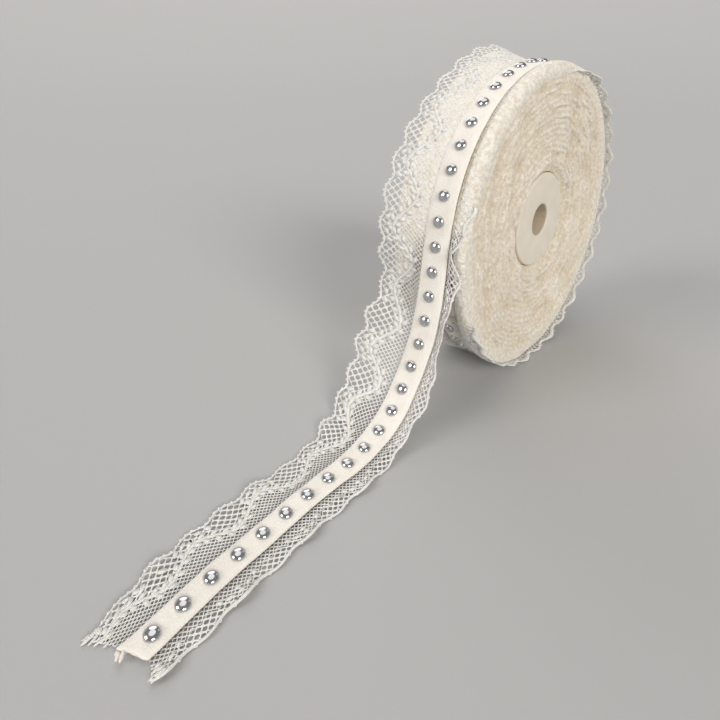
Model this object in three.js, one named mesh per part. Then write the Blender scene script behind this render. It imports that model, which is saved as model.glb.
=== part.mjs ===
// Spool of studded lace ribbon: a plastic core, the lace wound on it, the loose end that runs
// out over the floor, the tape sewn along the lace and the dome studs fitted to the tape.
// Millimetres, +Z up. The origin is on the floor, on the flat that the roll rests on under its
// wider lace edge. The roll's axis is along X, and the loose end runs out towards -Y.

import * as THREE from "three";
import { mergeVertices } from "three/addons/utils/BufferGeometryUtils.js";

// Ribbon
const LACE_THICK = 1;
const TAPE_WIDTH = 10;
const TAPE_THICK = 1;
const STUD_DIA = 3.9;
const STUD_HEIGHT = 1.2;
const STUD_PITCH = 8.7;
const FIRST_STUD = 4.8;
const SCALLOP_COUNT = 32;
const GAP = 0.3;

// Roll and core
const AXIS_HEIGHT = 60.5;
const TAPE_LINE_X = 13;
const SEAT_RADIUS = 59.6;
const TURN_DROP = 2.3;
const LEAVES_AT_DEG = 6.5;
const TAPE_ENDS_AT_DEG = 346;
const ROLL_STEPS = 128;
const CORE_RADIUS = 19.2;
const BORE_RADIUS = 6.4;
const CORE_RIGHT = 9.2;
const CORE_LEFT = -16.5;
const CORE_EDGE = 0.8;

// The tape lies this high at the rest spot, so that its studs stay off the floor
const SEAT_CLEAR = GAP + STUD_HEIGHT + GAP + TAPE_THICK + GAP;

// Section of the roll, from the core out over the right face, across the outer turn and back:
// r and x of the point, how far its edge follows the scallops, and how uneven the turns are
const ROLL_SECTION = [
  { r: 19.6, x: 8.4, lip: 0, uneven: 0.1 },
  { r: 23.5, x: 10.6, lip: 0, uneven: 0.4 },
  { r: 27, x: 9.6, lip: 0, uneven: 0.4 },
  { r: 31, x: 11.2, lip: 0, uneven: 0.5 },
  { r: 35, x: 10, lip: 0, uneven: 0.5 },
  { r: 39.5, x: 11.7, lip: 0, uneven: 0.6 },
  { r: 43.5, x: 10.4, lip: 0, uneven: 0.6 },
  { r: 48, x: 12.1, lip: 0, uneven: 0.7 },
  { r: 52, x: 10.9, lip: 0, uneven: 0.6 },
  { r: 55.3, x: 12.2, lip: 0, uneven: 0.5 },
  { r: 57.5, x: 11.2, lip: 0, uneven: 0.4 },
  { r: 58.8, x: 12.9, lip: 0.9, uneven: 0.3 },
  { r: 60.2, x: 13.1, lip: 0.9, uneven: 0.3 },
  { r: 61.1, x: 9.8, lip: 0, uneven: 0 },
  { r: 60.7, x: 7.4, lip: 0, uneven: 0 },
  { r: 59.6, x: 5.8, lip: 0, uneven: 0 },
  { r: 59.6, x: 0, lip: 0, uneven: 0 },
  { r: 59.6, x: -5.8, lip: 0, uneven: 0 },
  { r: 60.9, x: -7.6, lip: 0, uneven: 0 },
  { r: 61.1, x: -13, lip: 0, uneven: 0 },
  { r: 61.1, x: -18, lip: 0, uneven: 0 },
  { r: 60.9, x: -20.4, lip: -1.5, uneven: 0.3 },
  { r: 59.7, x: -20.2, lip: -1.5, uneven: 0.3 },
  { r: 58.8, x: -17.8, lip: 0, uneven: 0.3 },
  { r: 54, x: -17, lip: 0, uneven: 0.6 },
  { r: 47, x: -18.2, lip: 0, uneven: 0.6 },
  { r: 40, x: -17, lip: 0, uneven: 0.6 },
  { r: 33, x: -18, lip: 0, uneven: 0.5 },
  { r: 26, x: -16.8, lip: 0, uneven: 0.4 },
  { r: 19.6, x: -16.3, lip: 0, uneven: 0.1 },
];

// The loose end, from its cut end up to the roll: y and z of the lace's upper face on the
// middle line, that line's sideways drift, and the lace's two edges measured from it
const LOOSE_END = [
  { y: -181.8, z: 1, drift: 6.4, left: -14.8, right: 8.2 },
  { y: -177, z: 1, drift: 6, left: -15.1, right: 9 },
  { y: -159.6, z: 1, drift: 3.9, left: -16.8, right: 9.6 },
  { y: -141.7, z: 1.1, drift: 2.9, left: -17.1, right: 9.4 },
  { y: -124, z: 1.8, drift: 2.3, left: -16.2, right: 9.4 },
  { y: -106.6, z: 2, drift: 2.3, left: -18, right: 9.2 },
  { y: -97.5, z: 2.6, drift: 1.7, left: -20.4, right: 9 },
  { y: -88.7, z: 4.8, drift: 1, left: -22.6, right: 9 },
  { y: -80.7, z: 9.3, drift: 0.4, left: -24.2, right: 9.2 },
  { y: -74.5, z: 16.1, drift: 0.1, left: -25.1, right: 9.4 },
  { y: -70, z: 24.2, drift: 0.5, left: -25.4, right: 9.2 },
  { y: -67, z: 32.6, drift: 1.1, left: -25.2, right: 8.8 },
  { y: -64.7, z: 41.2, drift: 1.2, left: -24.7, right: 9 },
  { y: -62.6, z: 49.8, drift: 0.8, left: -24.4, right: 9.6 },
  { y: -60.9, z: 58.6, drift: 0.4, left: -24, right: 10.2 },
];

const RAD = Math.PI / 180;
const ALONG_X = new THREE.Vector3(1, 0, 0);

const smooth = (from, to, value) => THREE.MathUtils.smoothstep(value, from, to);

// Lets the smaller of two radii win, rounding the change over about `soft` millimetres
function softMin(a, b, soft) {
  const share = Math.max(soft - Math.abs(a - b), 0) / soft;
  return Math.min(a, b) - (share * share * soft) / 4;
}

// Radius of the turn's lace under the tape, wound on from where the loose end leaves
function turnRadius(turnDeg) {
  return SEAT_RADIUS - (TURN_DROP * turnDeg) / 360;
}

// Largest radius at this place in the turn that stays `height` above the floor
function floorRadius(turnDeg, height) {
  const down = -Math.sin((LEAVES_AT_DEG + turnDeg) * RAD);
  return down > 0.5 ? (AXIS_HEIGHT - height) / down : Infinity;
}

function seatRadius(turnDeg) {
  const limit = floorRadius(turnDeg, SEAT_CLEAR);
  const radius = turnRadius(turnDeg);
  return limit === Infinity ? radius : softMin(radius, limit, 0.6);
}

function onTurn(turnDeg, radius, x) {
  const angle = (LEAVES_AT_DEG + turnDeg) * RAD;
  return new THREE.Vector3(x, -radius * Math.cos(angle), AXIS_HEIGHT + radius * Math.sin(angle));
}

// Upper face of the lace along the ribbon's middle line: the loose end, then the outer turn
const linePoints = LOOSE_END.map((row) => new THREE.Vector3(row.drift, row.y, row.z));
for (let turnDeg = 0; turnDeg <= 358; turnDeg += 360 / ROLL_STEPS) {
  linePoints.push(onTurn(turnDeg, seatRadius(turnDeg), 0));
}
const line = new THREE.CatmullRomCurve3(linePoints, false, "centripetal");
line.arcLengthDivisions = 4000;
const lengths = line.getLengths();
const lineLength = line.getLength();

// Distance along the line at which its given point lies
function distanceAtPoint(index) {
  const part = index / (linePoints.length - 1);
  return lengths[Math.round(part * line.arcLengthDivisions)];
}

const leavesAt = distanceAtPoint(LOOSE_END.length);
const tapeEndsAt = distanceAtPoint(LOOSE_END.length + Math.round((TAPE_ENDS_AT_DEG * ROLL_STEPS) / 360));

// Point, direction and outward normal of the ribbon at a distance from its cut end
function ribbonAt(distance) {
  const part = THREE.MathUtils.clamp(distance / lineLength, 0, 1);
  const point = line.getPointAt(part);
  const along = line.getTangentAt(part);
  const out = new THREE.Vector3().crossVectors(ALONG_X, along).normalize();
  return { point, along, out };
}

// Welds a mesh, which is made about the tape's middle line, and drops
// the triangles that closed up to nothing
function weld(geometry) {
  geometry.deleteAttribute("normal");
  geometry.deleteAttribute("uv");
  const welded = mergeVertices(geometry, 1e-4);
  const index = welded.getIndex().array;
  const kept = [];
  for (let i = 0; i < index.length; i += 3) {
    const [a, b, c] = [index[i], index[i + 1], index[i + 2]];
    if (a !== b && b !== c && c !== a) {
      kept.push(a, b, c);
    }
  }
  welded.setIndex(kept);
  welded.computeVertexNormals();
  return welded;
}

const spool = new THREE.Group();

function add(name, geometry, color, roughness, metalness) {
  geometry.translate(TAPE_LINE_X, 0, 0);
  const mesh = new THREE.Mesh(geometry, new THREE.MeshStandardMaterial({ color, roughness, metalness }));
  mesh.name = name;
  spool.add(mesh);
}

// Core: a moulded ring with a rounded rim and an open bore
const coreSection = [
  [BORE_RADIUS, CORE_LEFT],
  [CORE_RADIUS - CORE_EDGE, CORE_LEFT],
  [CORE_RADIUS, CORE_LEFT + CORE_EDGE],
  [CORE_RADIUS, CORE_RIGHT - CORE_EDGE],
  [CORE_RADIUS - CORE_EDGE, CORE_RIGHT],
  [BORE_RADIUS, CORE_RIGHT],
  [BORE_RADIUS, CORE_LEFT],
].map(([r, x]) => new THREE.Vector2(r, x));
const core = new THREE.LatheGeometry(coreSection, 48);
core.rotateZ(-90 * RAD);
core.translate(0, 0, AXIS_HEIGHT);
add("core", weld(core), 0xd6cfc0, 0.55, 0);

// Roll: the section above taken round the axis, spiralling in by one turn, with the edge
// scallops, the uneven turns of the faces and the flat that it rests on
const closedSection = [...ROLL_SECTION, ROLL_SECTION[0]].map((row) => new THREE.Vector2(row.r, row.x));
const roll = new THREE.LatheGeometry(closedSection, ROLL_STEPS);
const rollPoints = roll.getAttribute("position");
for (let step = 0; step <= ROLL_STEPS; step += 1) {
  const turnDeg = ((step % ROLL_STEPS) * 360) / ROLL_STEPS;
  const drop = (TURN_DROP * turnDeg) / 360;
  const pressed = smooth(300, 346, turnDeg);
  const scallop = 0.5 - 0.5 * Math.cos(SCALLOP_COUNT * turnDeg * RAD);
  const flare = -3 * (1 - smooth(0, 90, turnDeg));
  const curl = -2.6 * (1 - smooth(0, 60, turnDeg));
  for (let row = 0; row < closedSection.length; row += 1) {
    const { r, x, lip, uneven } = ROLL_SECTION[row % ROLL_SECTION.length];
    const above = r - SEAT_RADIUS;
    const isSeat = above === 0;
    const share = THREE.MathUtils.clamp((r - 44) / (SEAT_RADIUS - 44), 0, 1);
    const wander = Math.sin(3 * turnDeg * RAD + r) + 0.6 * Math.sin(7 * turnDeg * RAD + 2 * r);
    let radius = r - drop * share;
    if (above > 0) {
      radius = THREE.MathUtils.lerp(r, turnRadius(turnDeg) + 0.4 * above, pressed);
    }
    if (isSeat) {
      radius = seatRadius(turnDeg);
    } else {
      radius = Math.min(radius, floorRadius(turnDeg, 0));
    }
    const turned = lip < 0 ? flare : lip > 0 ? curl : 0;
    const side = x + lip * scallop + uneven * wander + turned;
    const point = onTurn(turnDeg, radius, side);
    rollPoints.setXYZ(step * closedSection.length + row, point.x, point.y, point.z);
  }
}
add("roll", weld(roll), 0xdfd6c6, 0.9, 0);

// A strip along the ribbon, from a box that is bent on to the line by `place`
function strip(steps, across, place) {
  const geometry = new THREE.BoxGeometry(1, 1, 1, across, steps, 1);
  const points = geometry.getAttribute("position");
  for (let i = 0; i < points.count; i += 1) {
    const point = place(points.getY(i) + 0.5, points.getX(i) + 0.5, points.getZ(i) + 0.5);
    points.setXYZ(i, point.x, point.y, point.z);
  }
  return weld(geometry);
}

// Value of one column of the loose end's table at a distance from the cut end
const rowDistances = LOOSE_END.map((row, index) => distanceAtPoint(index));
function looseEndAt(column, distance) {
  const last = LOOSE_END.length - 1;
  let row = 0;
  while (row < last - 1 && distance > rowDistances[row + 1]) {
    row += 1;
  }
  const part = (distance - rowDistances[row]) / (rowDistances[row + 1] - rowDistances[row]);
  const eased = THREE.MathUtils.clamp(part, 0, 1.2);
  return THREE.MathUtils.lerp(LOOSE_END[row][column], LOOSE_END[row + 1][column], eased);
}

// Columns across the loose end: five on the left edge, two under the tape, three on the right
const LACE_COLUMNS = 10;
const FLAT_HALF = TAPE_WIDTH / 2 + 0.9;
function acrossLace(left, right, column) {
  if (column <= 5) {
    return THREE.MathUtils.lerp(left, -FLAT_HALF, column / 5);
  }
  if (column <= 7) {
    return THREE.MathUtils.lerp(-FLAT_HALF, FLAT_HALF, (column - 5) / 2);
  }
  return THREE.MathUtils.lerp(FLAT_HALF, right, (column - 7) / 3);
}

// Loose end: its lace lies under the tape, lifts in small ruffles along the right edge, and
// near the roll stands as proud of the tape's seat as the outer turn does
const looseTop = leavesAt - 2;
const looseEnd = strip(66, LACE_COLUMNS, (lengthPart, widthPart, depth) => {
  const distance = lengthPart * looseTop;
  const { point, along, out } = ribbonAt(distance);
  const wave = Math.cos((2 * Math.PI * distance) / 11.6);
  const left = looseEndAt("left", distance) - 0.8 * (0.5 - 0.5 * wave);
  const right = looseEndAt("right", distance) + 0.7 * (0.5 + 0.5 * wave);
  const x = acrossLace(left, right, widthPart * LACE_COLUMNS);
  const outside = Math.max(Math.abs(x) - FLAT_HALF, 0);
  const onFloor = 1 - smooth(0.6, 4, point.z - LACE_THICK);
  const nearRoll = smooth(looseTop - 40, looseTop, distance);
  const ruffle = x > 0 ? 0.16 * outside * (1 + Math.sin((2 * Math.PI * distance) / 23.2 + 1)) : 0;
  const proud = nearRoll * 1.5 * smooth(0, 2, outside) + (1 - nearRoll) * ruffle;
  const settle = Math.min(0.25 * outside, Math.max(point.z - LACE_THICK, 0)) * smooth(0, 6, outside) * onFloor;
  const slack = x < 0 ? 0.55 * outside * (1 - smooth(0, 30, distance)) : 0;
  const lift = proud - settle - (1 - depth) * LACE_THICK;
  const placed = point.addScaledVector(out, lift).addScaledVector(along, -slack);
  placed.x += x;
  placed.z = Math.max(placed.z, 0);
  return placed;
});
add("loose_end", looseEnd, 0xe6e2d8, 0.9, 0);

// Tape: one band over the loose end and the outer turn
const tape = strip(150, 1, (lengthPart, widthPart, depth) => {
  const distance = lengthPart * tapeEndsAt;
  const { point, out } = ribbonAt(distance);
  point.addScaledVector(out, GAP + depth * TAPE_THICK);
  point.x += (widthPart - 0.5) * TAPE_WIDTH;
  return point;
});
add("tape", tape, 0xece6dc, 0.95, 0);

// Studs: low domes at an even pitch, left out where the roll presses the tape to the floor
const studRadius = STUD_DIA / 2;
const studSection = [
  [0, 0],
  [studRadius, 0],
  [studRadius * 0.93, STUD_HEIGHT * 0.45],
  [studRadius * 0.6, STUD_HEIGHT * 0.86],
  [0, STUD_HEIGHT],
].map(([r, height]) => new THREE.Vector2(r, height));
let studCount = 0;
for (let distance = FIRST_STUD; distance < tapeEndsAt - 3; distance += STUD_PITCH) {
  const { point, along, out } = ribbonAt(distance);
  const pressedDown = out.z < -0.955;
  if (!pressedDown) {
    studCount += 1;
    const stud = new THREE.LatheGeometry(studSection, 10);
    const across = new THREE.Vector3().crossVectors(out, along).normalize();
    const seat = point.clone().addScaledVector(out, GAP + TAPE_THICK + GAP);
    const ahead = new THREE.Vector3().crossVectors(across, out);
    stud.applyMatrix4(new THREE.Matrix4().makeBasis(across, out, ahead).setPosition(seat));
    add(`stud_${String(studCount).padStart(2, "0")}`, weld(stud), 0xc9ccd0, 0.16, 1);
  }
}

export default spool;
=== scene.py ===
import math

import bmesh
import bpy
import numpy as np
from mathutils import Matrix, Vector, noise


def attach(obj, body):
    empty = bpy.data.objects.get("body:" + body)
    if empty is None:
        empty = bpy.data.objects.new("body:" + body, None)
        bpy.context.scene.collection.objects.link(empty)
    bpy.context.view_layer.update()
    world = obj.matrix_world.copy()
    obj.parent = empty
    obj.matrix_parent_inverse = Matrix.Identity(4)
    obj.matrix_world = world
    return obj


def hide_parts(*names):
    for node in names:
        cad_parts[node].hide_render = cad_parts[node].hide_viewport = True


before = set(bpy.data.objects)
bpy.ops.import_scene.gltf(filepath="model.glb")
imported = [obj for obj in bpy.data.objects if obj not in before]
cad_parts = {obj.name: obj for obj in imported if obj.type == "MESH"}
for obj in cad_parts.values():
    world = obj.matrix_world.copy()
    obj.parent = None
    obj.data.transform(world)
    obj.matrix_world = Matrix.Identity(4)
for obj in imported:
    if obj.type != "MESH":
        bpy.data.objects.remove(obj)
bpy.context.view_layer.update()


# Core: the moulded ring that the ribbon is wound on, in matte cream plastic with an open bore, whose wall
# has painted shade, darker brown deeper in.
# It is turned from its wall section, and its rims are rounded as a mould leaves them.
# Sizes are millimetres about the tape's middle line, which lies 13 mm from the frame's origin.
MM = 0.001
TAPE_LINE_X = 13.0
AXIS_HEIGHT = 60.5
CORE_RADIUS, BORE_RADIUS = 19.2, 6.4
CORE_LEFT, CORE_RIGHT = -16.5, 9.2


def place_piece(name, bm, material, slot, *nodes):
    """Makes a finished mesh of a bmesh in millimetres, and sets it on the spool for its solids."""
    bmesh.ops.scale(bm, vec=(MM, MM, MM), verts=bm.verts)
    bmesh.ops.translate(bm, vec=(TAPE_LINE_X * MM, 0, 0), verts=bm.verts)
    mesh = bpy.data.meshes.new(name)
    bm.to_mesh(mesh)
    bm.free()
    mesh.shade_smooth()
    mesh.materials.append(material)
    piece = bpy.data.objects.new(name, mesh)
    bpy.context.scene.collection.objects.link(piece)
    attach(piece, "root")
    if nodes:
        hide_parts(*nodes)
    return piece


def new_material(name, colour, roughness):
    """A material with its shader's plain values set, and the tree to add its detail to."""
    material = bpy.data.materials.new(name)
    material.use_nodes = True
    tree = material.node_tree
    shader = tree.nodes["Principled BSDF"]
    shader.inputs["Base Color"].default_value = (*colour, 1)
    shader.inputs["Roughness"].default_value = roughness
    return material, tree, shader


def add_node(tree, kind, values=(), **settings):
    node = tree.nodes.new(kind)
    for key, value in settings.items():
        setattr(node, key, value)
    for key, value in dict(values).items():
        node.inputs[key].default_value = value
    return node


def mottle(tree, scale, detail, low, high):
    """Noise on the piece's own coordinates, spread from 0 to 1 between two of its levels."""
    place = add_node(tree, "ShaderNodeTexCoord")
    grain = add_node(tree, "ShaderNodeTexNoise", {"Scale": scale, "Detail": detail})
    spread = add_node(tree, "ShaderNodeMapRange", {"From Min": low, "From Max": high})
    tree.links.new(place.outputs["Object"], grain.inputs["Vector"])
    tree.links.new(grain.outputs["Fac"], spread.inputs["Value"])
    return spread.outputs["Result"]


def tint(tree, factor, first, second, blend="MIX"):
    """A colour between two others, each plain or from the tree, by a factor from the tree."""
    mix = add_node(tree, "ShaderNodeMix", data_type="RGBA", blend_type=blend)
    for socket, colour in zip([s for s in mix.inputs if s.type == "RGBA"], (first, second)):
        if isinstance(colour, tuple):
            socket.default_value = (*colour, 1)
        else:
            tree.links.new(colour, socket)
    tree.links.new(factor, mix.inputs["Factor"])
    return next(s for s in mix.outputs if s.type == "RGBA")


def raise_bump(tree, shader, height, distance, strength=1.0):
    bump = add_node(tree, "ShaderNodeBump", {"Distance": distance, "Strength": strength})
    tree.links.new(height, bump.inputs["Height"])
    tree.links.new(bump.outputs["Normal"], shader.inputs["Normal"])


core_plastic, tree, shader = new_material("core_plastic", (0.72, 0.66, 0.56), 0.5)
shader.inputs["Subsurface Weight"].default_value = 0.12
shader.inputs["Subsurface Radius"].default_value = (0.004, 0.003, 0.002)
shade = tint(tree, mottle(tree, 140, 3, 0.35, 0.65), (0.73, 0.67, 0.57), (0.78, 0.72, 0.62))
# Painted shade: the bore's wall is painted darker brown, more so deeper in from its mouths.
deep_bore_shade = add_node(tree, "ShaderNodeAttribute", attribute_name="bore_painted_shade")
tree.links.new(tint(tree, deep_bore_shade.outputs["Fac"], shade, (0.50, 0.38, 0.25)), shader.inputs["Base Color"])
raise_bump(tree, shader, mottle(tree, 900, 2, 0.3, 0.7), 0.00004)

bm = bmesh.new()
section = ((BORE_RADIUS, CORE_LEFT), (CORE_RADIUS, CORE_LEFT), (CORE_RADIUS, CORE_RIGHT),
           (BORE_RADIUS, CORE_RIGHT), (BORE_RADIUS, (CORE_LEFT + CORE_RIGHT) / 2))
wall = [bm.verts.new((x, 0, AXIS_HEIGHT + r)) for r, x in section]
rims = [bm.edges.new(pair) for pair in zip(wall, wall[1:] + wall[:1])]
about = {"cent": (0, 0, AXIS_HEIGHT), "axis": (1, 0, 0), "angle": math.tau, "use_merge": True}
bmesh.ops.spin(bm, geom=wall + rims, steps=96, **about)
bmesh.ops.remove_doubles(bm, verts=bm.verts, dist=0.001)
bmesh.ops.recalc_face_normals(bm, faces=bm.faces)
sharp = [e for e in bm.edges if len(e.link_faces) == 2 and e.calc_face_angle() > 1]
bmesh.ops.bevel(bm, geom=sharp, offset=0.9, segments=4, profile=0.5, affect="EDGES", material=-1)
# Painted shade inside the bore: about half at the mouths, full from some 11 mm in.
bore_painted_shade = bm.verts.layers.float.new("bore_painted_shade")
for vert in bm.verts:
    from_axis = math.hypot(vert.co.y, vert.co.z - AXIS_HEIGHT)
    from_mouth = min(vert.co.x - CORE_LEFT, CORE_RIGHT - vert.co.x)
    vert[bore_painted_shade] = min(0.45 + 0.05 * from_mouth, 1) if from_axis < BORE_RADIUS + 0.2 else 0
place_piece("core_ring", bm, core_plastic, "core", "core")


# Wound lace: some twenty turns of the same ribbon, whose edges make up the two soft faces.
# Off-white cotton, with painted shade that darkens and yellows it in the hollows between the turns, wound
# on to the core by hand so that the turns stand unevenly. The outer turn's own edges are separate, further
# down.
SEAT_RADIUS = 59.6  # of the lace under the tape, where the loose end leaves the roll
TURN_DROP = 2.3  # how much further in the outer turn ends than it starts
LEAVES_AT_DEG = 6.5  # above level, in front
SEAT_CLEAR, FACE_CLEAR, EDGE_CLEAR = 3.1, 0.6, 0.35  # from the floor under the roll
TURN_PITCH = 2.15


def ease(low, high, value):
    part = np.clip((np.asarray(value, float) - low) / (high - low), 0, 1)
    return part * part * (3 - 2 * part)


def floor_radius(turn, height):
    """Radius at which a point of the roll, pressed flat underneath, lies `height` above the floor."""
    down = -np.sin(np.radians(LEAVES_AT_DEG + turn))
    return np.where(down > 0.5, (AXIS_HEIGHT - height) / np.maximum(down, 0.5), 1e3)


def seat_radius(turn):
    """Radius of the lace under the tape, a turn's thickness further in by the end of the turn."""
    free = SEAT_RADIUS - TURN_DROP * turn / 360
    limit = floor_radius(turn, SEAT_CLEAR)
    share = np.maximum(0.6 - np.abs(free - limit), 0) / 0.6
    return np.minimum(free, limit) - share * share * 0.15


def edge_radius(turn, above):
    """Radius of the outer turn's edges, which stand above the tape all round and are flat on the floor."""
    return np.minimum(SEAT_RADIUS + above, floor_radius(turn, EDGE_CLEAR))


def over_shoulder(turn):
    """Where the right edge is pressed over the shoulder, in front and at the top."""
    return ease(8, 24, turn) * (1 - ease(80, 108, turn))


def outer_height(turn, x):
    """How far the outer turn stands off the tape's seat: flush beside the tape and flared at the top
    left; on the right it is bent over the shoulder in front, and stands out from the face further on."""
    left = np.interp(-x, (4.2, 5.2, 7.5, 13, 18, 24), (0.1, 0.9, 1.2, 1.45, 1.55, 1.6))
    flare = ease(45, 92, turn) * (1 - ease(105, 175, turn))
    left = left + 4.6 * flare * np.clip((-x - 7) / 14, 0, 1.2) ** 1.25
    bent = np.interp(x, (4.6, 5.4, 7.0, 9.0, 10.4, 11.4, 12.0), (0.1, 0.2, 1.1, 1.0, 0.3, -1.0, -2.6))
    out = np.interp(x, (4.6, 5.6, 7.2, 9.8, 13.5), (0.1, 0.3, 1.1, 1.4, 1.1))
    back = ease(75, 115, turn)
    return np.where(x < 0, left, bent * (1 - back) + out * back)


face_rows = np.array([  # radius, and where the right and the left face lie there
    (19.6, 8.6, -16.3), (23.5, 10.4, -16.6), (30, 10.6, -17.4), (38, 11.0, -17.3),
    (46, 11.3, -17.8), (53, 11.4, -17.9), (57.0, 11.2, -18.0)])
rings = np.arange(face_rows[0, 0], 57.2, 0.42)
right_face = [(r, np.interp(r, face_rows[:, 0], face_rows[:, 1])) for r in rings]
left_face = [(r, np.interp(r, face_rows[:, 0], face_rows[:, 2])) for r in rings]
OUTLINE_RADIUS = 59.5  # of both edges in the outline, before they are raised
over_right = [(58.3, 11.4), (58.8, 11.1), (59.2, 10.5), (59.4, 9.6), (59.5, 8.6), (59.5, 7.6), (59.5, 6.9)]
groove = [(60.2, 6.3), (60.15, 5.7), (60.1, 5.2), (59.4, 4.8), (58.9, 4.2)]
under_tape = [(58.9, 0), (58.9, -4.6)]
over_left = [(59.4, -5.2), (59.5, -6.2), (59.5, -8), (59.5, -10), (59.5, -12), (59.5, -14),
             (59.5, -15.8), (59.3, -17.2), (58.8, -18.0), (58.2, -18.2)]
bm = bmesh.new()
outline = right_face + over_right + groove + under_tape + over_left + left_face[::-1]
chain = [bm.verts.new((x, 0, AXIS_HEIGHT + r)) for r, x in outline]
links = [bm.edges.new(pair) for pair in zip(chain, chain[1:])]
links.append(bm.edges.new((chain[-1], chain[0])))
bmesh.ops.spin(bm, geom=chain + links, steps=360, **about)
bmesh.ops.remove_doubles(bm, verts=bm.verts, dist=0.001)
# Painted shade for each vertex: in the hollows of both faces, and in the groove beside the tape.
painted_hollow_shade = bm.verts.layers.float.new("painted_hollow_shade")
for vert in bm.verts:
    x, y, z = vert.co
    z -= AXIS_HEIGHT
    r = math.hypot(y, z)
    turn = (math.degrees(math.atan2(z, -y)) - LEAVES_AT_DEG) % 360
    share = min(max((r - 44) / 15.6, 0), 1)
    if r > 58:
        new_r = float(min(r - 0.1 - TURN_DROP * turn / 360, floor_radius(turn, SEAT_CLEAR + 0.3)))
        if x > 6.5 or x < -5.0:
            fills = 0.42 * over_shoulder(turn) if x > 0 else -0.2 * ease(325, 342, turn)
            new_r = float(edge_radius(turn, outer_height(turn, x)) - 0.12 + fills + r - OUTLINE_RADIUS)
        # Painted shade in the groove beside the tape, strongest in front and fading by the top; elsewhere
        # almost none.
        vert[painted_hollow_shade] = 0.2 + 0.45 * (1 - ease(45, 80, turn)) if 4.5 < x < 6.4 else 0.02
    else:
        new_r = float(min(r - share * TURN_DROP * turn / 360, floor_radius(turn, FACE_CLEAR)))
        side = 1 if x > 0 else -1
        winding = r / TURN_PITCH + turn / 360 + 0.22 * noise.noise(Vector((y, z, 33 * side)) / 14)
        within = winding % 1
        which = math.floor(winding)
        spot = Vector((y, z, 40 * side + 9.7 * which))
        crest = 1 - abs(2 * within - 1) ** 1.6
        stands = 0.45 + 1.1 * noise.noise(spot / 11)
        lumps = noise.noise(Vector((y, z, 60 * side)) / 12)
        lumps += 0.6 * noise.noise(Vector((y, z, 90 * side)) / 5)
        curl = noise.noise(Vector((y, z, 20 * side)) / 1.8)
        near_core, near_rim = float(ease(19.6, 23, r)), float(1 - ease(54, 58, r))
        edges = near_core * near_rim * (1.25 * crest * stands + 0.42 * curl)
        relief = edges + near_core * near_rim * 0.9 * lumps
        # Painted shade: more where the relief sinks, less on the crests and towards the rim.
        relief_shade = 0.46 - 0.36 * edges - 0.18 * near_rim * lumps - 0.3 * (1 - near_rim)
        vert[painted_hollow_shade] = min(max(relief_shade, 0), 1)
        vert.co.x += side * (relief - 0.35 * near_rim)
    angle = math.radians(LEAVES_AT_DEG + turn)
    vert.co.y = -new_r * math.cos(angle)
    vert.co.z = max(AXIS_HEIGHT + new_r * math.sin(angle), 0.1)
bmesh.ops.recalc_face_normals(bm, faces=bm.faces)

wound_cotton, tree, shader = new_material("wound_cotton", (0.78, 0.72, 0.62), 0.95)
shader.inputs["Sheen Weight"].default_value = 0.25
shader.inputs["Sheen Roughness"].default_value = 0.6
depth = add_node(tree, "ShaderNodeAttribute", attribute_name="painted_hollow_shade")
# The ramp turns the painted shade into colour: cream where there is none, dark tan where it is deepest.
ramp = add_node(tree, "ShaderNodeValToRGB")
ramp.color_ramp.elements[0].color = (0.94, 0.91, 0.85, 1)
ramp.color_ramp.elements[1].color = (0.52, 0.40, 0.25, 1)
ramp.color_ramp.elements.new(0.42).color = (0.85, 0.77, 0.64, 1)
tree.links.new(depth.outputs["Fac"], ramp.inputs["Fac"])
specks = mottle(tree, 620, 4, 0.36, 0.62)
fuzzy = tint(tree, specks, ramp.outputs["Color"], (0.83, 0.78, 0.70), "MULTIPLY")
tree.links.new(fuzzy, shader.inputs["Base Color"])
raise_bump(tree, shader, mottle(tree, 1000, 5, 0.3, 0.7), 0.0004, 0.9)
place_piece("wound_lace", bm, wound_cotton, "lace", "roll")


# Ribbon line: where the lace lies, from the cut end along the floor, up to the roll and round
# it once. Every soft piece below is cut flat first, and is then laid along this line.
loose_rows = np.array([  # y, z of the lace's face, sideways drift, left edge, right edge
    (-181.8, 1.0, 6.4, -14.8, 8.2), (-177.0, 1.0, 6.0, -15.1, 9.0), (-159.6, 1.0, 3.9, -16.8, 9.6),
    (-141.7, 1.1, 2.9, -17.1, 9.4), (-124.0, 1.8, 2.3, -16.2, 9.4), (-106.6, 2.0, 2.3, -18.0, 9.2),
    (-97.5, 2.6, 1.7, -20.4, 9.0), (-88.7, 4.8, 1.0, -22.6, 9.0), (-80.7, 9.3, 0.4, -24.2, 9.2),
    (-74.5, 16.1, 0.1, -25.1, 9.4), (-70.0, 24.2, 0.5, -25.4, 9.2), (-67.0, 32.6, 1.1, -25.2, 8.8),
    (-64.7, 41.2, 1.2, -24.7, 9.0), (-62.6, 49.8, 0.8, -24.4, 9.6), (-60.9, 58.6, 0.4, -24.0, 10.2)])
turns = np.arange(0, 358, 2.0)
bearing = np.radians(LEAVES_AT_DEG + turns)
seat = seat_radius(turns)
round_left = -21.2 - 2.6 * (1 - ease(0, 90, turns))
round_right = 13.3 - 2.6 * (1 - ease(0, 60, turns))
round_rows = np.stack([-seat * np.cos(bearing), AXIS_HEIGHT + seat * np.sin(bearing), 0 * turns,
                       round_left, round_right], 1)
rows = np.vstack([loose_rows, round_rows])
STEPS = 12  # fine points of the line for each row
fine = []
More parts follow.
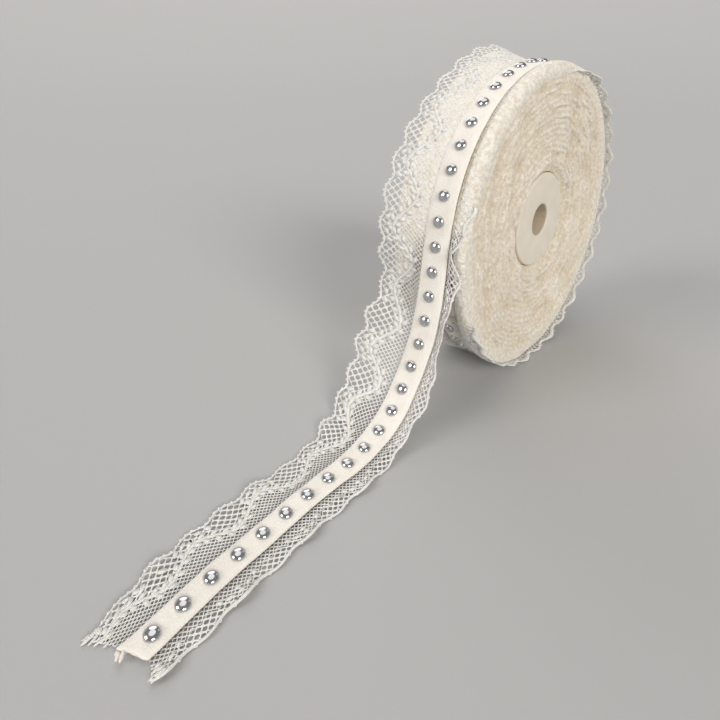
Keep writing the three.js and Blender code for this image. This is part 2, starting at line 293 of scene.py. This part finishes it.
for i in range(len(rows) - 1):
    p0, p1, p2, p3 = rows[max(i - 1, 0)], rows[i], rows[i + 1], rows[min(i + 2, len(rows) - 1)]
    for t in np.linspace(0, 1, STEPS, endpoint=False):
        fine.append(0.5 * (2 * p1 + (p2 - p0) * t + (2 * p0 - 5 * p1 + 4 * p2 - p3) * t**2
                           + (3 * p1 - p0 - 3 * p2 + p3) * t**3))
fine = np.array(fine + [rows[-1]])
fine_at = np.concatenate([[0], np.cumsum(np.hypot(*np.diff(fine[:, :2], axis=0).T))])
heading = np.gradient(fine[:, :2], fine_at, axis=0)
heading /= np.linalg.norm(heading, axis=1)[:, None]
loose_steps = STEPS * len(loose_rows)
LEAVES_AT = fine_at[loose_steps]
fine_turn = np.interp(np.arange(len(fine)) - loose_steps, STEPS * np.arange(len(turns)), turns)


def along_line(column, distance):
    """One column of the ribbon line at a distance from the cut end, carried on past the end."""
    inside = np.interp(distance, fine_at, fine[:, column])
    return inside + np.where(distance < 0, distance * (1 if column == 0 else 0), 0)


def lay(u, x, height):
    """Places on the ribbon: u from the cut end, x across from the tape's middle, height off the lace."""
    y, z, drift = along_line(0, u), along_line(1, u), along_line(2, u)
    ahead_y, ahead_z = np.interp(u, fine_at, heading[:, 0]), np.interp(u, fine_at, heading[:, 1])
    return np.stack([drift + x, y - ahead_z * height, np.maximum(z + ahead_y * height, 0.02)], 1)


def stand_off(u, x):
    """How far the lace stands off the tape's seat: as the outer turn does, or ruffled where it is loose."""
    turn = np.interp(u, fine_at, fine_turn)
    on_roll = ease(LEAVES_AT - 34, LEAVES_AT + 6, u)
    wound = edge_radius(turn, outer_height(turn, x)) - seat_radius(turn)
    beyond = np.maximum(np.abs(x) - 4.6, 0)
    ruffle = np.where(x > 0, 0.11 * beyond * (1 + np.sin(u / 3.7 + 1) + 0.6 * np.sin(u / 1.9)),
                      0.045 * beyond * (0.8 + np.sin(u / 6.1) + 0.6 * np.sin(u / 2.7 + 2)))
    z_free = np.maximum(along_line(1, u) - 1, 0)
    settle = np.minimum(0.3 * beyond, z_free) * (1 - ease(2.0, 6, z_free))
    gap = np.maximum(np.hypot(along_line(0, u), along_line(1, u) - AXIS_HEIGHT) - SEAT_RADIUS, 0)
    leans_back = 0.75 * gap * (1 - ease(4, 13, gap)) * ease(5, 11, -x) * (u < LEAVES_AT)
    return on_roll * wound + (1 - on_roll) * (np.maximum(ruffle, 0) - settle) - leans_back


# Lace: cotton net with a winding band of leaves, and a scalloped border with picots. One repeat
# is charted flat, two scallops long: the band swings out to the border and back to the
# tape. It is worked along the ribbon, on the loose end and on the roll's outer turn alike.
REPEAT = 23.2
LEFT_WIDE, RIGHT_WIDE = 15.4, 5.2
LACE_THICK = 0.3
TAPE_HALF = 5.0
VINE_MIDDLE, VINE_SWING = 7.6, 3.3
LEAVES, PICOTS = 16, 12  # in a repeat
BORDER_NET, VINE_NET = (REPEAT / 9, 0.29), (REPEAT / 14, 0.19)  # cell, and strand beside it
RIGHT_OPEN_NET, RIGHT_FINE_NET = (REPEAT / 10, 0.27), (REPEAT / 15, 0.2)


def wave(u, count):
    return np.cos(count * math.tau * u / REPEAT)


def vine_line(u):
    return VINE_MIDDLE - VINE_SWING * wave(u, 1)


def scallop(u):
    return LEFT_WIDE + 0.95 * wave(u, 2) - 0.12 * wave(u, 4)


def right_border(u):
    return RIGHT_WIDE + 0.62 * wave(u, 2)


def right_change(u):
    """Where the right edge's fine net gives way to its open one."""
    return right_border(u) - 0.4 - 2.2 * (1 + wave(u, 1))


def drawn_in(u, w):
    """The border's net has its rows closer together towards the vine."""
    base = vine_line(u) + 0.5
    share = (w - base) / (scallop(u) - base)
    return base + (scallop(u) - base) * share**1.35 if 0 < share < 1 else w


def work_net(bm, cell, strand, low, high, rounded=False, drawn=None):
    """A repeat of diamond net between two lines, each cell cut open but for the strands round it."""
    count = 2 * math.ceil((REPEAT + LEFT_WIDE + 3) / cell)
    made = bmesh.ops.create_grid(bm, x_segments=count, y_segments=count, size=0.5)["verts"]
    turn = Matrix.Rotation(math.pi / 4, 4, "Z") @ Matrix.Scale(cell * count / math.sqrt(2), 4)
    bmesh.ops.transform(bm, matrix=turn, verts=made)
    cells, spare = [], []
    for face in dict.fromkeys(f for v in made for f in v.link_faces):
        u, w, _ = face.calc_center_median()
        kept = -1e-4 < u < REPEAT - 1e-4 and low(u) < w < high(u)
        (cells if kept else spare).append(face)
    bmesh.ops.delete(bm, geom=spare, context="FACES")
    if drawn:
        for vert in dict.fromkeys(v for f in cells for v in f.verts):
            vert.co.y = drawn(vert.co.x, vert.co.y)
    if rounded:
        strands = list(dict.fromkeys(e for f in cells for e in f.edges))
        bmesh.ops.bisect_edges(bm, edges=strands, cuts=1)
    bmesh.ops.inset_individual(bm, faces=cells, thickness=strand)
    if rounded:
        for face in cells:
            middle = face.calc_center_median()
            reach = sum((v.co - middle).length for v in face.verts) / len(face.verts)
            for vert in face.verts:
                spoke = vert.co - middle
                vert.co = middle + spoke * (0.25 + 0.75 * reach / spoke.length)
    bmesh.ops.delete(bm, geom=cells, context="FACES")


def work_band(bm, middle, half, steps):
    """A close-worked band along `middle`."""
    made = bmesh.ops.create_grid(bm, x_segments=steps, y_segments=1, size=0.5)["verts"]
    for vert in made:
        u = (vert.co.x + 0.5) * REPEAT
        vert.co = (u, middle(u) + 2 * half(u) * vert.co.y, 0.06)


def work_spot(bm, u, w, long, wide, lean, sides=8):
    """A close-worked leaf or knot, as an ellipse that leans from the ribbon's length."""
    lies = Matrix.Translation((u, w, 0.12)) @ Matrix.Rotation(lean, 4, "Z")
    drawn = lies @ Matrix.Diagonal((long, wide, 1, 1))
    bmesh.ops.create_circle(bm, cap_ends=True, segments=sides, radius=0.5, matrix=drawn)


def work_lace(start, repeats):
    """Works the repeat from `start` along the ribbon, flat, both edges at their distance from the tape."""
    bm = bmesh.new()
    work_net(bm, *BORDER_NET, lambda u: vine_line(u) + 0.3, lambda u: scallop(u) - 0.5,
             rounded=True, drawn=drawn_in)
    work_net(bm, *VINE_NET, lambda u: -1.4, lambda u: vine_line(u) - 0.4)
    work_band(bm, vine_line, lambda u: 0.75, 40)
    for i in range(LEAVES):
        u = (i + 0.5) * REPEAT / LEAVES
        side = 1 if i % 2 else -1
        off = side * 1.35
        lean = math.atan(VINE_SWING * math.tau / REPEAT * math.sin(math.tau * u / REPEAT))
        leaf_u, leaf_w = u - off * math.sin(lean), vine_line(u) + off * math.cos(lean)
        work_spot(bm, leaf_u, leaf_w, 2.9, 1.5, lean + side * 0.7)
    border_leaves = ((9.0, 13.5, 0.6), (14.2, 13.5, -0.6), (6.2, 12.4, 0.9), (17.0, 12.4, -0.9),
                     (11.6, 13.0, 1.57))
    for u, w, lean in border_leaves:
        work_spot(bm, u, w, 2.7, 1.35, lean)
    work_band(bm, lambda u: scallop(u) - 0.1, lambda u: 0.3, 48)
    for u in np.arange(0, REPEAT - 0.1, REPEAT / PICOTS):
        work_spot(bm, u, scallop(u) + 0.3, 0.85, 0.85, 0, 7)
    aside = 60  # the left edge is set this far aside while the right one is worked
    for vert in bm.verts:
        vert.co.y = -vert.co.y - TAPE_HALF - aside
    work_net(bm, *RIGHT_FINE_NET, lambda u: -2.0, right_change)
    work_net(bm, *RIGHT_OPEN_NET, right_change, lambda u: right_border(u) - 0.2, rounded=True)
    right_leaves = ((8.6, 2.4, 2.8, 0.5), (11.6, 3.3, 2.4, 0.0), (14.6, 2.4, 2.8, -0.5),
                    (6.0, 1.0, 2.2, 0.9), (17.2, 1.0, 2.2, -0.9), (11.6, 1.5, 2.2, 0.2))
    for u, w, long, lean in right_leaves:
        work_spot(bm, u, w, long, 1.1, lean)
    work_band(bm, lambda u: right_border(u) - 0.15, lambda u: 0.48 - 0.1 * wave(u, 1), 48)
    for vert in bm.verts:
        vert.co.x += start
        vert.co.y += aside if vert.co.y < -aside / 2 else TAPE_HALF
    first = bm.verts[:] + bm.edges[:] + bm.faces[:]
    for i in range(1, repeats):
        made = bmesh.ops.duplicate(bm, geom=first)["geom"]
        moved = [g for g in made if isinstance(g, bmesh.types.BMVert)]
        bmesh.ops.translate(bm, vec=(i * REPEAT, 0, 0), verts=moved)
    bmesh.ops.remove_doubles(bm, verts=bm.verts, dist=0.02)
    return bm


def cut_across(bm, places, side_of_tape):
    """Cuts one side of the flat lace along the line through two places, as scissors do."""
    (u0, y0), (u1, y1) = places
    side = [f for f in bm.faces if f.calc_center_median().y * side_of_tape > 0]
    edges = dict.fromkeys(e for f in side for e in f.edges)
    verts = dict.fromkeys(v for f in side for v in f.verts)
    across = Vector((y1 - y0, u0 - u1, 0)) * (1 if y1 > y0 else -1)
    bmesh.ops.bisect_plane(bm, geom=[*side, *edges, *verts], dist=0.001, plane_co=(u0, y0, 0),
                           plane_no=across, clear_inner=True)


# The right edge frills out and in along the loose end, by so much at these places from the cut end.
frill_at = (100, 111, 119, 128, 138, 144, 150, 155, 161, 167, 174, 180, 186)
frill_by = (0, 0.7, -0.2, -1.4, -1.0, -0.7, 0.8, -1.0, -3.0, -1.0, 0.3, -0.8, 0)


def lay_lace(bm, lift):
    """Thickens the flat lace and bends it on to the ribbon line, each edge as wide as it lies there."""
    bm.normal_update()
    for face in bm.faces:
        if face.normal.z < 0:
            face.normal_flip()
    bmesh.ops.solidify(bm, geom=bm.faces[:], thickness=LACE_THICK)
    flat = np.array([v.co[:] for v in bm.verts])
    u, w, h = flat[:, 0], np.abs(flat[:, 1]) - TAPE_HALF, flat[:, 2]
    gathered = 1 - 0.26 * (1 - ease(-8, 10, u))
    left, right = (-along_line(3, u) - TAPE_HALF) * gathered, along_line(4, u) - TAPE_HALF
    spread = np.where(flat[:, 1] < 0, left / LEFT_WIDE, right / RIGHT_WIDE)
    x = np.sign(flat[:, 1]) * (TAPE_HALF + np.where(w > 0, w * spread, w))
    frill = np.where((flat[:, 1] > 0) & (w > 0), w / RIGHT_WIDE, 0)
    tucked = np.interp(u, frill_at, frill_by) * frill
    pressed = over_shoulder(np.interp(u, fine_at, fine_turn)) * (u > LEAVES_AT)
    height = stand_off(u, x) + h + lift + 0.8 * np.maximum(-tucked, 0) - 1.1 * frill * pressed
    placed = lay(u, x + tucked - pressed * np.maximum(x - 10.4, 0), height)
    for vert, place in zip(bm.verts, placed):
        vert.co = place
    bmesh.ops.recalc_face_normals(bm, faces=bm.faces)


lace_cotton, tree, shader = new_material("lace_cotton", (0.88, 0.85, 0.78), 0.85)
shader.inputs["Sheen Weight"].default_value = 0.3
shader.inputs["Subsurface Weight"].default_value = 0.1
shader.inputs["Subsurface Radius"].default_value = (0.002, 0.002, 0.0015)
shade = tint(tree, mottle(tree, 260, 4, 0.35, 0.65), (0.90, 0.88, 0.83), (0.95, 0.94, 0.91))
tree.links.new(shade, shader.inputs["Base Color"])
raise_bump(tree, shader, mottle(tree, 2600, 3, 0.3, 0.7), 0.0002)

LACE_FROM = -9.0
repeats = math.floor((LEAVES_AT - LACE_FROM) / REPEAT)
bm = work_lace(LACE_FROM, repeats)
cut_across(bm, ((-1.0, -3.0), (-6.2, -20.0)), side_of_tape=-1)
cut_across(bm, ((1.9, 3.0), (-0.1, 9.0)), side_of_tape=1)
thread_ends = ((-4.6, -18.8, 5.2, 1.9, -0.1), (-4.6, -16.2, 3.0, 1.2, -0.2), (-4.0, -13.2, 2.4, 1.0, 0.2),
               (-2.9, -9.4, 2.0, 0.9, -0.4), (1.3, 9.4, 4.2, 1.8, 0.15), (1.7, 7.4, 2.4, 1.2, -0.2),
               (3.6, -17.2, 3.4, 1.6, 0.3), (9.2, -16.4, 3.0, 1.5, -0.5), (15.2, -15.6, 3.2, 1.6, 0.7))
for u, y, long, wide, lean in thread_ends:
    work_spot(bm, u, y, long, wide, lean)
lay_lace(bm, lift=-0.5)
loose_lace = place_piece("loose_lace", bm, lace_cotton, "lace", "loose_end")

outer_from = LACE_FROM + repeats * REPEAT
bm = work_lace(outer_from, math.floor((fine_at[-1] - 10 - outer_from) / REPEAT))
lay_lace(bm, lift=-0.1)
outer_lace = place_piece("outer_lace", bm, lace_cotton, "lace")


# Tape: a band of suede-like off-white fabric, 10 mm wide, sewn along the middle of the lace.
# It runs from its ragged cut end, where it is drawn narrower and two tufts of thread hang out,
# over the loose end and once round the roll.
TAPE_THICK = 1.0
tape_long = fine_at[-1] - 14
bm = bmesh.new()
bmesh.ops.create_grid(bm, x_segments=420, y_segments=8, size=0.5)
for vert in bm.verts:
    vert.co.x = (vert.co.x + 0.5) * tape_long
    vert.co.y *= 2 * TAPE_HALF
bmesh.ops.solidify(bm, geom=bm.faces[:], thickness=TAPE_THICK)
low = min(v.co.z for v in bm.verts)
bmesh.ops.translate(bm, vec=(0, 0, -low), verts=bm.verts)
rim = [e for e in bm.edges if len(e.link_faces) == 2 and e.calc_face_angle(0) > 1]
bmesh.ops.bevel(bm, geom=rim, offset=0.3, segments=2, profile=0.5, affect="EDGES", material=-1)
for u, x in ((-1.4, -2.8), (-1.2, -1.7)):
    hangs = Matrix.Translation((u, x, 0.4)) @ Matrix.Rotation(-0.79, 4, "Z")
    tuft = hangs @ Matrix.Diagonal((4.0, 0.9, 0.6, 1))
    bmesh.ops.create_icosphere(bm, subdivisions=2, radius=0.5, matrix=tuft)
flat = np.array([v.co[:] for v in bm.verts])
u, x, h = flat[:, 0], flat[:, 1], flat[:, 2]
bm.verts.index_update()
grain = bm.loops.layers.uv.new("tape_grain")
for loop in (loop for face in bm.faces for loop in face.loops):
    loop[grain].uv = flat[loop.vert.index, :2] / 10
waver = np.array([noise.noise(Vector((p[0] / 7, 3 * np.sign(p[1]), 1))) for p in flat])
ragged = np.array([noise.noise(Vector((p[1] * 1.4, 5, p[2]))) for p in flat]) * (1 - ease(0, 2.5, u))
narrow = np.where(x < 0, 0.82, 0.76) + np.where(x < 0, 0.21, 0.24) * ease(55, 105, u)
cut = 0.6 * ragged + (0.36 * x - 0.4) * (1 - ease(0, 8, u))
slim = 1 - 0.45 * (np.abs(x) / TAPE_HALF) ** 6
placed = lay(u + cut, x * narrow + 0.15 * waver, h * slim + 0.2)
for vert, place in zip(bm.verts, placed):
    vert.co = place
bmesh.ops.recalc_face_normals(bm, faces=bm.faces)

tape_suede, tree, shader = new_material("tape_suede", (0.87, 0.83, 0.76), 0.95)
shader.inputs["Sheen Weight"].default_value = 0.45
shader.inputs["Sheen Roughness"].default_value = 0.5
shade = tint(tree, mottle(tree, 190, 5, 0.35, 0.65), (0.85, 0.80, 0.73), (0.90, 0.86, 0.80))
tree.links.new(shade, shader.inputs["Base Color"])
along = add_node(tree, "ShaderNodeUVMap", uv_map="tape_grain")
across = add_node(tree, "ShaderNodeMapping", {"Scale": (1.6, 13, 1)})
wrinkle = add_node(tree, "ShaderNodeTexNoise", {"Scale": 1.0, "Detail": 2.0})
nap = add_node(tree, "ShaderNodeMath", {1: 0.5}, operation="MULTIPLY_ADD")
tree.links.new(along.outputs["UV"], across.inputs["Vector"])
tree.links.new(across.outputs["Vector"], wrinkle.inputs["Vector"])
tree.links.new(mottle(tree, 1700, 5, 0.3, 0.7), nap.inputs[0])
tree.links.new(wrinkle.outputs["Fac"], nap.inputs[2])
raise_bump(tree, shader, nap.outputs["Value"], 0.0002, 0.8)
tape_band = place_piece("tape_band", bm, tape_suede, "tape", "tape")


# Studs: pressed dome studs of polished chrome, held by prongs through the tape, one every
# 8.7 mm. Those that the roll presses towards the floor are here too.
STUD_PITCH, FIRST_STUD = 8.7, 4.8
STUD_RADIUS, STUD_HIGH = 2.15, 1.35
STUD_RIM, STUD_SUNK = 0.12, 0.15
bm = bmesh.new()
dome = [(0.0, -STUD_SUNK), (0.92 * STUD_RADIUS, -STUD_SUNK), (STUD_RADIUS, 0.0), (STUD_RADIUS, STUD_RIM)]
dome += [(STUD_RADIUS * math.cos(a), STUD_RIM + (STUD_HIGH - STUD_RIM) * math.sin(a))
         for a in np.radians((14, 30, 46, 62, 77))]
dome.append((0.0, STUD_HIGH))
chain = [bm.verts.new((r, 0, h)) for r, h in dome]
links = [bm.edges.new(pair) for pair in zip(chain, chain[1:])]
upright = {"cent": (0, 0, 0), "axis": (0, 0, 1), "angle": math.tau, "use_merge": True}
bmesh.ops.spin(bm, geom=chain + links, steps=24, **upright)
bmesh.ops.remove_doubles(bm, verts=bm.verts, dist=0.001)
bmesh.ops.recalc_face_normals(bm, faces=bm.faces)
first = bm.verts[:] + bm.edges[:] + bm.faces[:]
template = bm.verts[:]
for u in np.arange(FIRST_STUD, tape_long - 3, STUD_PITCH):
    base, above = lay(np.array([u, u]), np.zeros(2), TAPE_THICK + np.array([0.3, 2.3]))
    out = Vector(above - base).normalized()
    across = Vector((1, 0, 0))
    made = bmesh.ops.duplicate(bm, geom=first)["geom"]
    basis = Matrix((across, out.cross(across), out)).transposed().to_4x4()
    verts = [g for g in made if isinstance(g, bmesh.types.BMVert)]
    bmesh.ops.transform(bm, matrix=Matrix.Translation(Vector(base)) @ basis, verts=verts)
bmesh.ops.delete(bm, geom=template, context="VERTS")
bmesh.ops.recalc_face_normals(bm, faces=bm.faces)

stud_chrome, tree, shader = new_material("stud_chrome", (0.60, 0.60, 0.61), 0.1)
shader.inputs["Metallic"].default_value = 1.0
spread = add_node(tree, "ShaderNodeMapRange", {"To Min": 0.06, "To Max": 0.2})
tree.links.new(mottle(tree, 500, 3, 0.35, 0.65), spread.inputs["Value"])
tree.links.new(spread.outputs["Result"], shader.inputs["Roughness"])
stud_nodes = sorted(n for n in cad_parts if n.startswith("stud_"))
dome_studs = place_piece("dome_studs", bm, stud_chrome, "stud", *stud_nodes)


# Stage: a plain pale floor that rises gently far out, soft light from wide lamps on all sides,
# and the camera at the photo's angle, close over the cut end. Colours are shown without a film look.
bm = bmesh.new()
sweep = [(0.0, 0.0), (1.2, 0.0), (1.8, 0.04), (2.6, 0.2), (4.0, 0.6), (7.0, 1.6), (10.0, 2.7), (13.0, 3.9)]
chain = [bm.verts.new((0, r, z)) for r, z in sweep]
links = [bm.edges.new(pair) for pair in zip(chain, chain[1:])]
bmesh.ops.spin(bm, geom=chain + links, steps=64, **upright)
bmesh.ops.remove_doubles(bm, verts=bm.verts, dist=0.0005)
bmesh.ops.recalc_face_normals(bm, faces=bm.faces)
floor_mesh = bpy.data.meshes.new("floor")
bm.to_mesh(floor_mesh)
bm.free()
floor_mesh.shade_smooth()
floor = bpy.data.objects.new("floor", floor_mesh)
bpy.context.scene.collection.objects.link(floor)
pale, _, _ = new_material("pale_floor", (0.46, 0.46, 0.46), 0.85)
floor_mesh.materials.append(pale)

world = bpy.context.scene.world or bpy.data.worlds.new("studio")
bpy.context.scene.world = world
world.use_nodes = True
world.node_tree.nodes["Background"].inputs["Color"].default_value = (1.0, 1.0, 1.0, 1)
world.node_tree.nodes["Background"].inputs["Strength"].default_value = 0.27


def soft_lamp(name, place, strength, colour, spread):
    """A far, wide lamp that lights object and floor evenly from the side where it stands."""
    lamp = bpy.data.lights.new(name, "SUN")
    lamp.energy, lamp.color, lamp.angle = strength, colour, math.radians(spread)
    holder = bpy.data.objects.new(name, lamp)
    holder.location = place
    holder.rotation_euler = Vector(place).to_track_quat("Z", "Y").to_euler()
    bpy.context.scene.collection.objects.link(holder)


soft_lamp("key", (-0.45, -0.9, 0.6), 1.1, (1.0, 0.97, 0.93), 30)
soft_lamp("side", (0.95, -0.35, 0.5), 2.1, (1.0, 0.97, 0.92), 30)
soft_lamp("fill", (-0.9, 0.55, 0.6), 0.6, (1.0, 0.98, 0.96), 40)
soft_lamp("sky", (-0.3, 0.15, 1.3), 0.6, (1.0, 0.98, 0.96), 50)

bpy.context.scene.view_settings.view_transform = "Standard"
view = bpy.data.cameras.new("camera")
PHOTO_WIDE, FOCAL, LOWERED = 720, 559.86, 100  # pixels
view.sensor_width = 36
view.lens = FOCAL / PHOTO_WIDE * view.sensor_width
view.shift_y = -LOWERED / PHOTO_WIDE
view.clip_start = 0.01
azimuth, elevation = math.radians(41.993), math.radians(21.852)
level = math.cos(elevation)
back = Vector((math.sin(azimuth) * level, -math.cos(azimuth) * level, math.sin(elevation)))
right = Vector((math.cos(azimuth), math.sin(azimuth), 0))
up = back.cross(right)
camera = bpy.data.objects.new("camera", view)
spot = Vector((99.88 + TAPE_LINE_X, -209.99, 129.86)) * MM
camera.matrix_world = Matrix.Translation(spot) @ Matrix((right, up, back)).transposed().to_4x4()
bpy.context.scene.collection.objects.link(camera)
bpy.context.scene.camera = camera
